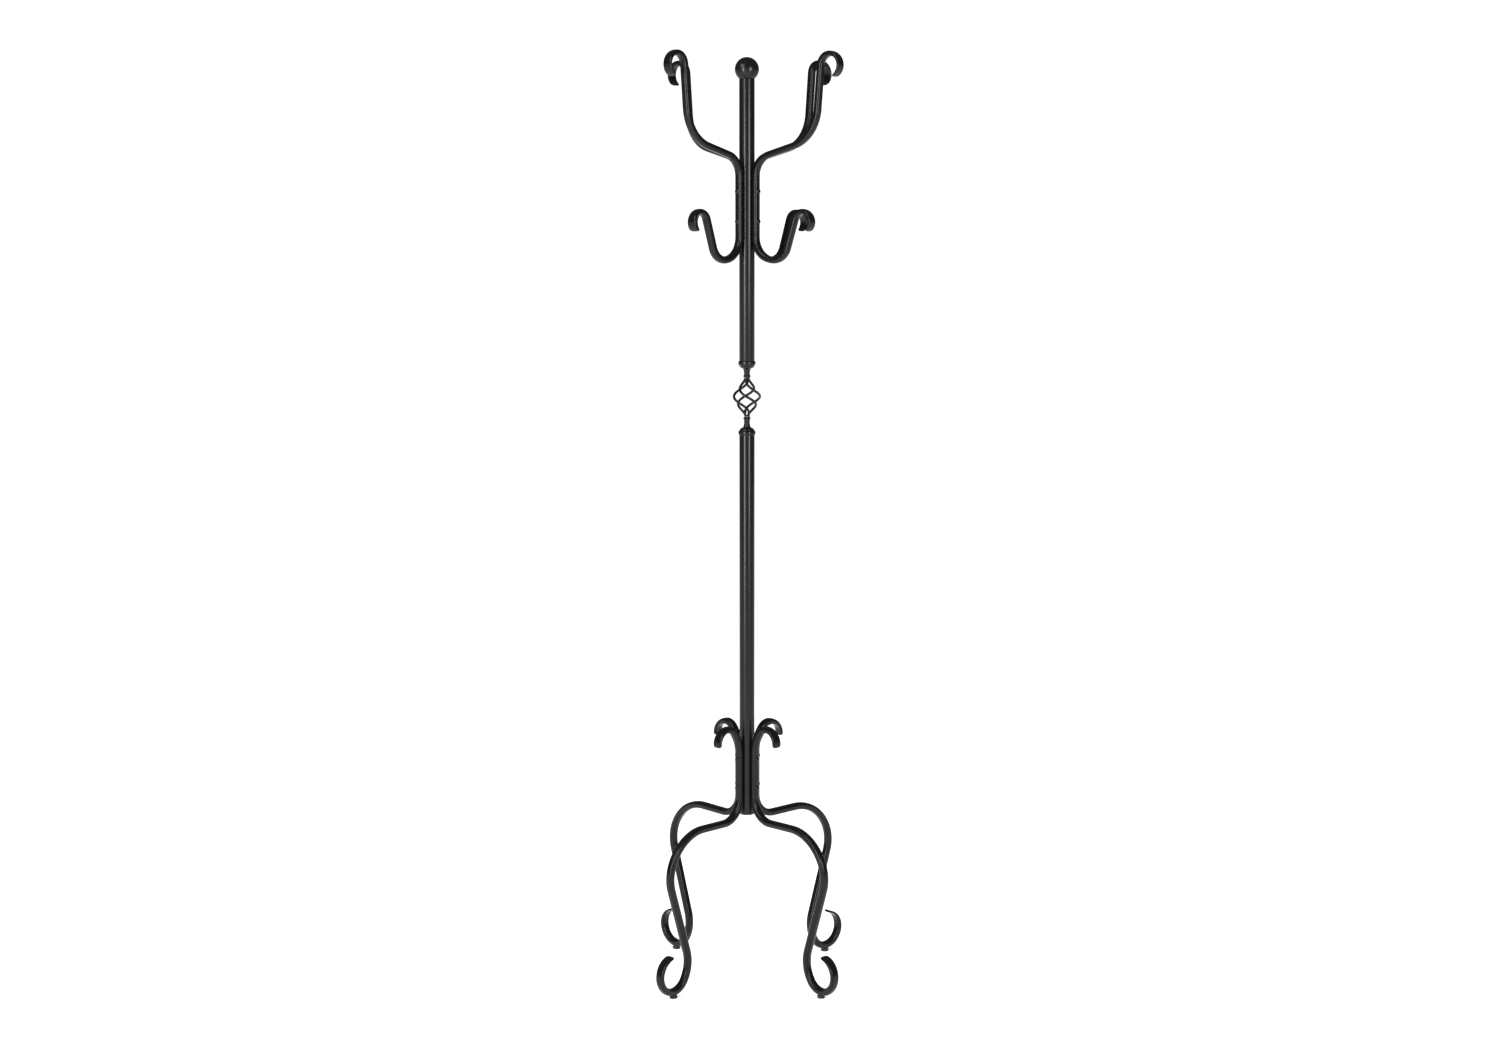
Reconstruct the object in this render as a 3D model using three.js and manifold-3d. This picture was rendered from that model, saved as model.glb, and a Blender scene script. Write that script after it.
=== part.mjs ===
// Free-standing coat stand in black powder-coated steel, millimetres, +Z up.
// The origin is on the floor under the pole. Legs and hook bars stand on the +X, +Y, -X and -Y sides, each
// a few degrees off, because the tubes are drilled by hand.
// A pole of two tubes is joined by a twisted basket of four rods; four bent legs and four double hooks
// are screwed to it. Every bar end is forged flat and rounded like a tongue.
import * as THREE from 'three';
import { mergeVertices } from 'three/addons/utils/BufferGeometryUtils.js';
import Module from 'manifold-3d';

const wasm = await Module();
wasm.setup();

// ---- driving dimensions -------------------------------------------------------------------------
const GAP = 0.3;               // play between two pieces that touch on the real object
const TUBE_R = 15;             // pole tube, outside radius
const TUBE_WALL = 1.5;
const TUBE_IN = TUBE_R - TUBE_WALL;
const LOWER_TUBE = [333, 1100]; // bottom and top of the lower tube
const UPPER_TUBE = [1234.4, 1784.4];
const BALL_R = 23.4;
const BALL_Z = 1802.6;
const STUD_R = 4;              // M8 studs of the ball and of the basket hubs
const BALL_STUD_LEN = 21;
const HUB_STUD_LEN = 14;       // below the lower ferrule's neck, and above the upper one's
const INSERT_LEN = 24;         // threaded plugs in the tube ends
const PLUG_LIP = 3;            // end plug below the tube
const PLUG_BODY = 12;          // end plug inside the tube

const LOWER_FERRULE_Z = 1094.4; // skirt edge of the lower ferrule
const UPPER_FERRULE_Z = 1240;   // skirt edge of the upper ferrule, which is the same part upside down
const FERRULE_H = 20.8;
const FERRULE_SEAT = 5.9;      // depth of the seat for the tube end
const NECK_R = 5.7;            // round stub of a basket hub
const BASKET = [1131.2, 1206.2]; // bottom and top of the basket rods
const ROD_R = 2.5;
const ROD_BUNDLE_R = 3.9;      // rod centres from the axis where they meet the hubs
const ROD_BULGE_R = 25.6;      // rod centres from the axis at the widest place
const ROD_TWIST = 280;         // degrees a rod turns from hub to hub, left-handed
const ROD_START = 5;           // degrees from +X at the top
const ROD_POWER = 1.7;         // how pointed the bulge is
const HUB_GAP = 1;             // from the tilted rod ends to the hub, filled by the weld

// Bars: w across the plane of the bar, t in its plane, in the middle and at the forged tips.
const LEG_BAR = { w: 16, t: 14.4, tipW: 21, tipT: 4.4, cornerR: 6.5 };
const HOOK_BAR = { w: 15.4, t: 13, tipW: 21.4, tipT: 3.6, cornerR: 6.5 };
const BAR_SIDES = 8;
const BEND_STEP = 17;          // degrees of bend between two rings of a bar
const DRILL_LEN = 22;          // drills reach right through a bar
const DRILL_SIDES = 10;
const LEG_SCREWS = [445.5, 387.5];
const HOOK_SCREWS = [1569, 1511];
const SCREW_R = 2.5;           // M5 button-head screw
const SCREW_LEN = 20;
const HEAD_R = 4.75;
const HEAD_H = 2.75;
const NUT_R = 3.4;             // rivet nut body in the tube wall
const NUT_BULGE_R = 4.6;
const NUT_SPAN = [8.5, 14.9];  // inner and outer end, from the pole axis
const PAD_R = 7.6;
const PAD_H = 5.6;
const PAD_PEG = [2.4, 4.5];    // peg radius and length

// Bending schedules from the clamped straight run outwards: [radius or 0, degrees or length].
// A positive bend turns anticlockwise in the picture with the pole on the left and +Z up.
const LEG_RUN = [366.7, 456];  // straight run of a leg against the tube
const LEG_UP = [[71, -40], [26.5, -152]];
const LEG_DOWN = [
  [44.7, 90.9], [0, 61.7], [92.6, -63.7], [75, -44.9], [0, 135.7], [66.3, 53.3], [35.7, 228],
];
const HOOK_RUN = [1481.5, 1598.2];
const HOOK_UP = [[42.1, -75.3], [0, 60.4], [75.8, 70.4], [0, 83], [22.2, -242]];
const HOOK_DOWN = [[44.6, 86.4], [33.4, 75.4], [0, 58.9], [20.2, -217]];
const LEG_FORGE = [62, 92];    // length of the forged taper at the top scroll and at the foot
const HOOK_FORGE = [92, 74];   // the same at the hat hook and at the coat hook

const RAD = Math.PI / 180;
const SIDES = ['right', 'back', 'left', 'front']; // +X, +Y, -X, -Y
const HOOK_TURN = [7.8, -2.2, -1.7, 2.9]; // degrees of each hook bar off its side, anticlockwise from above
const LEG_TURN = [-2.2, -4.3, -1.2, 2.7];

// ---- helpers ------------------------------------------------------------------------------------
function paint(colour, roughness, metalness) {
  return () => new THREE.MeshStandardMaterial({ color: colour, roughness, metalness });
}
const blackCoat = paint(0x17181a, 0.34, 0.15);
const basketCoat = paint(0x1d1e20, 0.42, 0.15);
const zinc = paint(0xa9adb0, 0.4, 0.9);
const blackPlastic = paint(0x141414, 0.55, 0);
const rubber = paint(0x121212, 0.85, 0);

// Welds the vertices, drops the triangles of no area and turns the faces outwards.
function solid(geometry) {
  geometry.deleteAttribute('normal');
  geometry.deleteAttribute('uv');
  const welded = mergeVertices(geometry, 1e-4);
  const p = welded.attributes.position;
  const keep = [];
  let volume = 0;
  const a = new THREE.Vector3();
  const b = new THREE.Vector3();
  const c = new THREE.Vector3();
  for (let i = 0; i < welded.index.count; i += 3) {
    const [u, v, w] = [0, 1, 2].map((k) => welded.index.getX(i + k));
    if (u === v || v === w || w === u) continue;
    keep.push([u, v, w]);
    a.fromBufferAttribute(p, u);
    b.fromBufferAttribute(p, v);
    c.fromBufferAttribute(p, w);
    volume += a.dot(b.clone().cross(c));
  }
  const order = volume < 0 ? [0, 2, 1] : [0, 1, 2];
  welded.setIndex(keep.flatMap((t) => order.map((k) => t[k])));
  welded.computeVertexNormals();
  return welded;
}

// Turned part about Z; a profile that does not start on the axis is closed on itself.
function turned(profile, segments) {
  const points = profile.map(([r, z]) => new THREE.Vector2(r, z));
  if (profile[0][0] > 0) points.push(points[0].clone());
  return solid(new THREE.LatheGeometry(points, segments).rotateX(Math.PI / 2));
}

function toManifold(geometry) {
  const vertProperties = new Float32Array(geometry.attributes.position.array);
  const triVerts = new Uint32Array(geometry.index.array);
  return new wasm.Manifold(new wasm.Mesh({ numProp: 3, vertProperties, triVerts }));
}

function fromManifold(body) {
  const mesh = body.getMesh();
  const geometry = new THREE.BufferGeometry();
  geometry.setAttribute('position', new THREE.Float32BufferAttribute(mesh.vertProperties, 3));
  geometry.setIndex(Array.from(mesh.triVerts));
  return solid(geometry);
}

function drilled(geometry, drills) {
  let body = toManifold(geometry);
  for (const drill of drills) body = body.subtract(toManifold(drill));
  return fromManifold(body);
}

// Drill along X through height z, between two distances from the axis.
function radialDrill(radius, from, to, z, turn = 0) {
  const drill = new THREE.CylinderGeometry(radius, radius, to - from, DRILL_SIDES);
  drill.rotateZ(Math.PI / 2).translate((from + to) / 2, 0, z).rotateZ(turn);
  return solid(drill);
}

function add(group, name, geometry, material) {
  const mesh = new THREE.Mesh(geometry, material());
  mesh.name = name;
  group.add(mesh);
}

function sideAngle(k, turns) {
  return k * Math.PI / 2 + turns[k] * RAD;
}

// Copies of one shape on the four sides of the pole, each turned by its own few degrees.
function addFour(group, name, geometry, material, turns) {
  SIDES.forEach((side, k) => {
    add(group, `${name}_${side}`, geometry.clone().rotateZ(sideAngle(k, turns)), material);
  });
}

// ---- bent bars ----------------------------------------------------------------------------------
// Stations [r, z, heading, distance] along one side of a bending schedule.
function bend(r, z, heading, schedule) {
  const stations = [];
  let s = 0;
  for (const [radius, value] of schedule) {
    const turn = radius ? value * RAD : 0;
    const length = radius ? radius * Math.abs(turn) : value;
    const n = Math.max(1, Math.round(Math.abs(turn) / (BEND_STEP * RAD)));
    for (let i = 0; i < n; i += 1) {
      const chord = radius ? 2 * radius * Math.sin(Math.abs(turn) / n / 2) : length / n;
      r += chord * Math.cos(heading + turn / n / 2);
      z += chord * Math.sin(heading + turn / n / 2);
      heading += turn / n;
      s += length / n;
      stations.push([r, z, heading, s]);
    }
  }
  return stations;
}

// Both ends of the bar in one list, running from the upper tip to the lower tip, heading downwards.
function wholePath(r, run, up, down) {
  const lower = bend(r, run[0], -Math.PI / 2, down);
  const upper = bend(r, run[1], Math.PI / 2, up).reverse();
  const length = upper[0][3];
  const path = upper.map(([x, z, h, s]) => [x, z, h + Math.PI, length - s]);
  path.push([r, run[1], -Math.PI / 2, length], [r, run[0], -Math.PI / 2, length + run[1] - run[0]]);
  lower.forEach(([x, z, h, s]) => path.push([x, z, h, length + run[1] - run[0] + s]));
  return path;
}

// Extra stations close to the tips for the rounded corners of the tongues.
function withTips(path, tip) {
  const out = path.slice();
  const total = path[path.length - 1][3];
  const insert = (s) => {
    const k = out.findIndex((q) => q[3] > s);
    const [p, q] = [out[k - 1], out[k]];
    const f = (s - p[3]) / (q[3] - p[3]);
    out.splice(k, 0, p.map((value, j) => value + (q[j] - value) * f));
  };
  for (const f of [0.15, 0.5, 1]) {
    insert(tip * f);
    insert(total - tip * f);
  }
  return out;
}

// Section size at distance s: round-edged bar in the middle, a tongue with rounded corners at both ends.
function section(bar, s, total, forge) {
  const end = s < total / 2 ? s : total - s;
  const taper = forge[s < total / 2 ? 0 : 1];
  const f = Math.min(1, end / taper);
  const ease = f * f * (3 - 2 * f);
  const short = Math.max(0, bar.cornerR - end);
  const cut = 2 * (bar.cornerR - Math.sqrt(bar.cornerR ** 2 - short ** 2));
  return [bar.tipW + (bar.w - bar.tipW) * ease - cut, bar.tipT + (bar.t - bar.tipT) * ease];
}

// A straight blank with one ring per station, laid along the path in the XZ plane.
function bentBar(bar, path, forge) {
  const total = path[path.length - 1][3];
  const n = path.length - 1;
  const flat = 0.5 / Math.cos(Math.PI / BAR_SIDES);
  const blank = new THREE.CylinderGeometry(flat, flat, 1, BAR_SIDES, n).rotateY(Math.PI / BAR_SIDES);
  const p = blank.attributes.position;
  for (let i = 0; i < p.count; i += 1) {
    const [r, z, heading, s] = path[Math.round((p.getY(i) + 0.5) * n)];
    const [w, t] = section(bar, s, total, forge);
    const v = p.getX(i) * t;
    p.setXYZ(i, r - v * Math.sin(heading), p.getZ(i) * w, z + v * Math.cos(heading));
  }
  return solid(blank);
}

function barCentre(bar) {
  return TUBE_R + GAP + bar.t / 2;
}

function screwHoles(heights) {
  return heights.map((z) => radialDrill(SCREW_R + GAP, TUBE_R - 2, TUBE_R - 2 + DRILL_LEN, z));
}

function legBar() {
  const r = barCentre(LEG_BAR);
  const path = withTips(wholePath(r, LEG_RUN, LEG_UP, LEG_DOWN), LEG_BAR.cornerR);
  const blank = bentBar(LEG_BAR, path, LEG_FORGE);
  const lowest = path.reduce((low, q) => (q[1] < low[1] ? q : low));
  const peg = new THREE.CylinderGeometry(PAD_PEG[0] + GAP, PAD_PEG[0] + GAP, DRILL_LEN, DRILL_SIDES);
  peg.rotateX(Math.PI / 2).translate(lowest[0], 0, PAD_H + PAD_PEG[1] + GAP - DRILL_LEN / 2);
  return { geometry: drilled(blank, [...screwHoles(LEG_SCREWS), solid(peg)]), foot: lowest[0] };
}

function hookBar() {
  const path = wholePath(barCentre(HOOK_BAR), HOOK_RUN, HOOK_UP, HOOK_DOWN);
  const blank = bentBar(HOOK_BAR, withTips(path, HOOK_BAR.cornerR), HOOK_FORGE);
  return drilled(blank, screwHoles(HOOK_SCREWS));
}

// ---- pole ---------------------------------------------------------------------------------------
function tube([bottom, top], screwHeights, turns) {
  const profile = [[TUBE_IN, bottom], [TUBE_R, bottom], [TUBE_R, top], [TUBE_IN, top]];
  const holes = screwHeights.flatMap((z) => SIDES.map(
    (side, k) => radialDrill(NUT_R + GAP, TUBE_IN - 4, TUBE_R + 4, z, sideAngle(k, turns)),
  ));
  return drilled(turned(profile, 32), holes);
}

// Threaded steel plug held inside a tube end; its bore takes an M8 stud.
function insert(bottom, top) {
  const r = TUBE_IN - GAP;
  const bore = STUD_R + GAP;
  return turned([[bore, bottom], [r - 0.8, bottom], [r, bottom + 0.8], [r, top], [bore, top]], 16);
}

function endPlug() {
  const base = LOWER_TUBE[0] - GAP;
  const low = base - PLUG_LIP;
  const top = base + PLUG_BODY;
  const r = TUBE_IN - GAP;
  const lip = [[0, low], [TUBE_R - 2.4, low], [TUBE_R - 0.8, low + 0.7], [TUBE_R, low + 2.2]];
  const plug = [[TUBE_R, base], [r, base], [r, top - 1], [r - 1, top], [0, top]];
  return turned([...lip, ...plug], 20);
}

function ballFinial() {
  const flat = UPPER_TUBE[1] + GAP;
  const start = Math.acos((BALL_Z - flat) / BALL_R);
  const tip = flat - BALL_STUD_LEN;
  const profile = [[0, tip], [STUD_R - 0.8, tip], [STUD_R, tip + 1], [STUD_R, flat]];
  for (let i = 0; i <= 10; i += 1) {
    const a = start + (Math.PI - start) * i / 10;
    profile.push([i === 10 ? 0 : BALL_R * Math.sin(a), BALL_Z - BALL_R * Math.cos(a)]);
  }
  return turned(profile, 20);
}

// Bell-shaped cap over a tube end: a round bead, a shoulder, a hollow cone and a collar with a bore.
function ferrule(z, dir) {
  const shape = [
    [TUBE_R + GAP, 0], [15.9, 0], [16.8, 2], [16.8, 6.4], [15.5, 8.8], [14.3, 9.6],
    [13.8, 12], [9.2, 14.2], [6.9, 16.4], [6.2, FERRULE_H],
    [STUD_R + GAP, FERRULE_H], [STUD_R + GAP, FERRULE_SEAT], [TUBE_R + GAP, FERRULE_SEAT],
  ];
  return turned(shape.map(([r, h]) => [r, z + dir * h]), 20);
}

// Round stub that carries the rods on one end and an M8 stud on the other.
function basketHub(rodEnd, dir, ferruleEnd) {
  const stub = [[0, rodEnd], [NECK_R - 0.5, rodEnd], [NECK_R, rodEnd + dir * 0.6], [NECK_R, ferruleEnd]];
  const tip = ferruleEnd + dir * (FERRULE_H + HUB_STUD_LEN);
  const stud = [[STUD_R, ferruleEnd], [STUD_R, tip - dir], [STUD_R - 0.9, tip], [0, tip]];
  return turned([...stub, ...stud], 14);
}

// One rod of the basket: it leaves the bundle, swells outwards and turns left-handed going up.
class BasketRod extends THREE.Curve {
  getPoint(u, target = new THREE.Vector3()) {
    const bulge = Math.sin(Math.PI * u) ** ROD_POWER;
    const r = ROD_BUNDLE_R + (ROD_BULGE_R - ROD_BUNDLE_R) * bulge;
    const a = (ROD_START + ROD_TWIST * (1 - u)) * RAD;
    return target.set(r * Math.cos(a), r * Math.sin(a), BASKET[0] + (BASKET[1] - BASKET[0]) * u);
  }
}

function basketRod() {
  const curve = new BasketRod();
  const shape = new THREE.Shape().absarc(0, 0, ROD_R, 0, 2 * Math.PI, false);
  const swept = new THREE.ExtrudeGeometry(shape, { steps: 22, curveSegments: 3, extrudePath: curve });
  return solid(swept);
}

// ---- fixings ------------------------------------------------------------------------------------
// Button-head screw along +X; the underside of its head is at x = seat.
function screw(seat, z) {
  const profile = [
    [0, seat - SCREW_LEN], [SCREW_R - 0.7, seat - SCREW_LEN], [SCREW_R, seat - SCREW_LEN + 0.8],
    [SCREW_R, seat], [HEAD_R, seat], [HEAD_R * 0.93, seat + HEAD_H * 0.45],
    [HEAD_R * 0.6, seat + HEAD_H * 0.88], [0, seat + HEAD_H],
  ];
  return turned(profile, 8).rotateY(Math.PI / 2).translate(0, 0, z);
}

// Rivet nut set flush in the tube wall, its bulge against the inside of the wall.
function rivetNut(z) {
  const bore = SCREW_R + GAP;
  const [inner, outer] = NUT_SPAN;
  const grip = TUBE_IN - 1.2;
  const profile = [
    [bore, inner], [NUT_R, inner], [NUT_BULGE_R, grip - 1.6],
    [NUT_BULGE_R, grip], [NUT_R, grip], [NUT_R, outer], [bore, outer],
  ];
  return turned(profile, 8).rotateY(Math.PI / 2).translate(0, 0, z);
}

function addFixings(group, name, bar, heights, turns) {
  const seat = barCentre(bar) + bar.t / 2 + 0.1;
  heights.forEach((z, i) => {
    const tag = i === 0 ? 'top' : 'bottom';
    addFour(group, `${name}_screw_${tag}`, screw(seat, z), blackCoat, turns);
    addFour(group, `${name}_nut_${tag}`, rivetNut(z), zinc, turns);
  });
}

// Rubber foot pad: a chamfered disc with a peg pressed into the bar above it.
function footPad(x) {
  const [pegR, pegL] = PAD_PEG;
  const disc = [[0, 0], [PAD_R - 0.8, 0], [PAD_R, 0.8], [PAD_R, PAD_H - 1], [PAD_R - 0.8, PAD_H - 0.3]];
  const peg = [[pegR, PAD_H - 0.3], [pegR, PAD_H + pegL], [0, PAD_H + pegL]];
  return turned([...disc, ...peg], 16).translate(x, 0, 0);
}

// ---- assembly -----------------------------------------------------------------------------------
const pole = new THREE.Group();
pole.name = 'pole';
add(pole, 'lower_tube', tube(LOWER_TUBE, LEG_SCREWS, LEG_TURN), blackCoat);
add(pole, 'upper_tube', tube(UPPER_TUBE, HOOK_SCREWS, HOOK_TURN), blackCoat);
add(pole, 'tube_end_plug', endPlug(), blackPlastic);
add(pole, 'lower_insert', insert(LOWER_TUBE[1] - INSERT_LEN, LOWER_TUBE[1] - GAP), zinc);
add(pole, 'upper_insert', insert(UPPER_TUBE[0] + GAP, UPPER_TUBE[0] + INSERT_LEN), zinc);
add(pole, 'finial_insert', insert(UPPER_TUBE[1] - INSERT_LEN, UPPER_TUBE[1] - GAP), zinc);
add(pole, 'ball_finial', ballFinial(), blackCoat);

const basket = new THREE.Group();
basket.name = 'basket';
add(basket, 'lower_ferrule', ferrule(LOWER_FERRULE_Z, 1), blackCoat);
add(basket, 'upper_ferrule', ferrule(UPPER_FERRULE_Z, -1), blackCoat);
add(basket, 'lower_hub', basketHub(BASKET[0] - HUB_GAP, -1, LOWER_FERRULE_Z + FERRULE_H + GAP), basketCoat);
add(basket, 'upper_hub', basketHub(BASKET[1] + HUB_GAP, 1, UPPER_FERRULE_Z - FERRULE_H - GAP), basketCoat);
addFour(basket, 'basket_rod', basketRod(), basketCoat, [0, 0, 0, 0]);

const hooks = new THREE.Group();
hooks.name = 'hooks';
addFour(hooks, 'hook_bar', hookBar(), blackCoat, HOOK_TURN);
addFixings(hooks, 'hook', HOOK_BAR, HOOK_SCREWS, HOOK_TURN);

const legs = new THREE.Group();
legs.name = 'legs';
const leg = legBar();
addFour(legs, 'leg_bar', leg.geometry, blackCoat, LEG_TURN);
addFour(legs, 'foot_pad', footPad(leg.foot), rubber, LEG_TURN);
addFixings(legs, 'leg', LEG_BAR, LEG_SCREWS, LEG_TURN);

const stand = new THREE.Group();
stand.name = 'coat_stand';
stand.add(pole, basket, hooks, legs);
export default stand;
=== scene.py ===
# %% [markdown]
# # A black metal coat stand, made in Blender
#
# This lesson builds a free-standing coat stand about as tall as a person. A smith-made
# look is the point of it: one pole in two lengths, a twisted basket in the middle, a ball
# on top, four double hooks and four scroll legs, all coated in satin black powder.
#
# The CAD model fixes where everything is. It is loaded first and it is never moved, and
# each finished piece here takes the place of the CAD solid of the same name.

# %% Load the CAD frame
import math

import bpy
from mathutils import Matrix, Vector


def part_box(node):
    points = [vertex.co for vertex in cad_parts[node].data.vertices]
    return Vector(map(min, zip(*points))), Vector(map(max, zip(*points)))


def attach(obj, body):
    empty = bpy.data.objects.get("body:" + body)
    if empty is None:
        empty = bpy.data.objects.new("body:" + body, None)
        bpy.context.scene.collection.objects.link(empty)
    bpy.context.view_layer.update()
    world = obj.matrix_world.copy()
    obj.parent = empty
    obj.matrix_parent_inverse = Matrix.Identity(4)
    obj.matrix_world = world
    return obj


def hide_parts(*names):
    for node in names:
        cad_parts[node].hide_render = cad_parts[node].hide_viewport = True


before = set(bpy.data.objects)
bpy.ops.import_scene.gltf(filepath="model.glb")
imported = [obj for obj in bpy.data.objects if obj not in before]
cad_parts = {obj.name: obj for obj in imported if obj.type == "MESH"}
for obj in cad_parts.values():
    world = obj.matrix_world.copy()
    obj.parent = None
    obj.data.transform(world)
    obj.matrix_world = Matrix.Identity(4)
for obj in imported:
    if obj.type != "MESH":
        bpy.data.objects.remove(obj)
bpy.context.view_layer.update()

scene = bpy.context.scene

# %% [markdown]
# ## The studio
#
# The camera stands 4.5 m away at about eye height and looks down a little, with two legs
# towards it and two away, so all four scrolls can be read.
#
# A black gloss object is drawn by what it mirrors. Two tall soft boxes, one on each side of
# the camera, give a tube its two long highlights. A broad soft box high on the left
# lights the tops of the bends. The white surround is full strength for the camera and for
# the floor, and much weaker in reflections, so that the coat stays black.

# %% Camera, surround and floor
MM = 0.001
CAMERA_DISTANCE = 4.5
CAMERA_HEIGHT = 1.5
CAMERA_SHIFT_RIGHT = 6 * MM
CAMERA_TILT = math.radians(7.4)
DIAGONAL = math.sqrt(0.5)

towards_camera = Vector((DIAGONAL, -DIAGONAL, 0))
right_of_camera = Vector((DIAGONAL, DIAGONAL, 0))

camera_data = bpy.data.cameras.new("camera")
camera_data.lens = 55
camera_data.sensor_width = 36
camera_data.clip_end = 60
camera = bpy.data.objects.new("camera", camera_data)
camera.location = (towards_camera * CAMERA_DISTANCE
                   + right_of_camera * CAMERA_SHIFT_RIGHT
                   + Vector((0, 0, CAMERA_HEIGHT)))
camera.rotation_euler = (math.radians(90) - CAMERA_TILT, 0, math.radians(45))
scene.collection.objects.link(camera)
scene.camera = camera
scene.view_settings.view_transform = "Standard"

world = bpy.data.worlds.new("white_surround")
world.use_nodes = True
scene.world = world
world_nodes = world.node_tree.nodes
world_links = world.node_tree.links
background = world_nodes["Background"]
background.inputs["Color"].default_value = (1, 1, 1, 1)
light_path = world_nodes.new("ShaderNodeLightPath")
glossy_strength = world_nodes.new("ShaderNodeMapRange")
glossy_strength.inputs["To Min"].default_value = 1.15
glossy_strength.inputs["To Max"].default_value = 0.14
world_links.new(light_path.outputs["Is Glossy Ray"], glossy_strength.inputs["Value"])
world_links.new(glossy_strength.outputs["Result"], background.inputs["Strength"])

bpy.ops.object.select_all(action="DESELECT")
bpy.ops.mesh.primitive_plane_add(size=40, location=(0, 0, 0))
floor = bpy.context.object
floor.name = "floor"
floor_paint = bpy.data.materials.new("pale_floor")
floor_paint.use_nodes = True
floor_shader = floor_paint.node_tree.nodes["Principled BSDF"]
floor_shader.inputs["Base Color"].default_value = (0.92, 0.92, 0.92, 1)
floor_shader.inputs["Roughness"].default_value = 0.9
floor_shader.inputs["Specular IOR Level"].default_value = 0.1
floor.data.materials.append(floor_paint)
print("camera at", [round(v, 3) for v in camera.location])

# %% [markdown]
# ## Soft boxes
#
# A soft box is a lamp behind a sheet of white cloth. In Blender it is a rectangular area
# light. The two tall, narrow ones draw narrow highlights along the tubes and bars, and
# the broad one lights the tops of the bends.

# %% Soft boxes
def soft_box(name, degrees_left, height, distance, aim_height, size, watts):
    """A rectangular soft light that stands beside the camera and faces the stand."""
    turn = math.radians(degrees_left)
    direction = (towards_camera * math.cos(turn) - right_of_camera * math.sin(turn))
    place = direction * distance + Vector((0, 0, height))
    light = bpy.data.lights.new(name, "AREA")
    light.shape = "RECTANGLE"
    light.size, light.size_y = size
    light.energy = watts
    box = bpy.data.objects.new(name, light)
    box.location = place
    aim = Vector((0, 0, aim_height)) - place
    box.rotation_euler = aim.to_track_quat("-Z", "Y").to_euler()
    scene.collection.objects.link(box)
    return box


soft_box("left_box", 34, 1.5, 3.4, 1.1, (0.45, 2.0), 112)
soft_box("right_box", -36, 1.75, 3.4, 1.4, (0.45, 1.6), 90)
soft_box("high_box", 48, 3.6, 3.2, 1.2, (1.6, 1.6), 85)

# %% [markdown]
# ## The powder coat
#
# Powder coat is plastic that is melted onto the metal. It is satin, very slightly pebbled
# like orange peel, and its gloss changes a little, and slowly, along a piece. A highlight
# on a thin bar shows even a small change of gloss, so the range is kept narrow. A little
# dust settles on surfaces that face up.
#
# All of that is one node group, so every coated piece has the same kind of skin, and each
# material sets its own amounts. The group gives only what changes over the surface: a
# colour, a roughness and a height. What is constant is set on the shader itself.

# %% Node helpers
def add_node(tree, kind, name, **settings):
    """A named node in a tree, with its properties set."""
    node = tree.nodes.new(kind)
    node.name = node.label = name
    for key, value in settings.items():
        setattr(node, key, value)
    return node


def set_inputs(node, **values):
    """Sets sockets by name; an underscore stands for a space."""
    for key, value in values.items():
        node.inputs[key.replace("_", " ")].default_value = value
    return node


def new_group(name, inputs, outputs):
    """An empty shader node group with named sockets. Returns the tree and its two ends."""
    tree = bpy.data.node_groups.new(name, "ShaderNodeTree")
    for label, kind, value in inputs:
        socket = tree.interface.new_socket(label, in_out="INPUT", socket_type=kind)
        if value is not None:
            socket.default_value = value
    for label, kind in outputs:
        tree.interface.new_socket(label, in_out="OUTPUT", socket_type=kind)
    start = tree.nodes.new("NodeGroupInput")
    end = tree.nodes.new("NodeGroupOutput")
    return tree, start, end


FLOAT = "NodeSocketFloat"
COLOUR = "NodeSocketColor"
VECTOR = "NodeSocketVector"

# %% [markdown]
# ## The coat as a node group
#
# Three noise patterns on the object's own coordinates make the skin: fine peel, wide
# hammer marks and wide clouds of gloss. The first two give a height for a Bump node. The
# clouds set the roughness, and with the upward part of the normal they place the dust.

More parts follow.
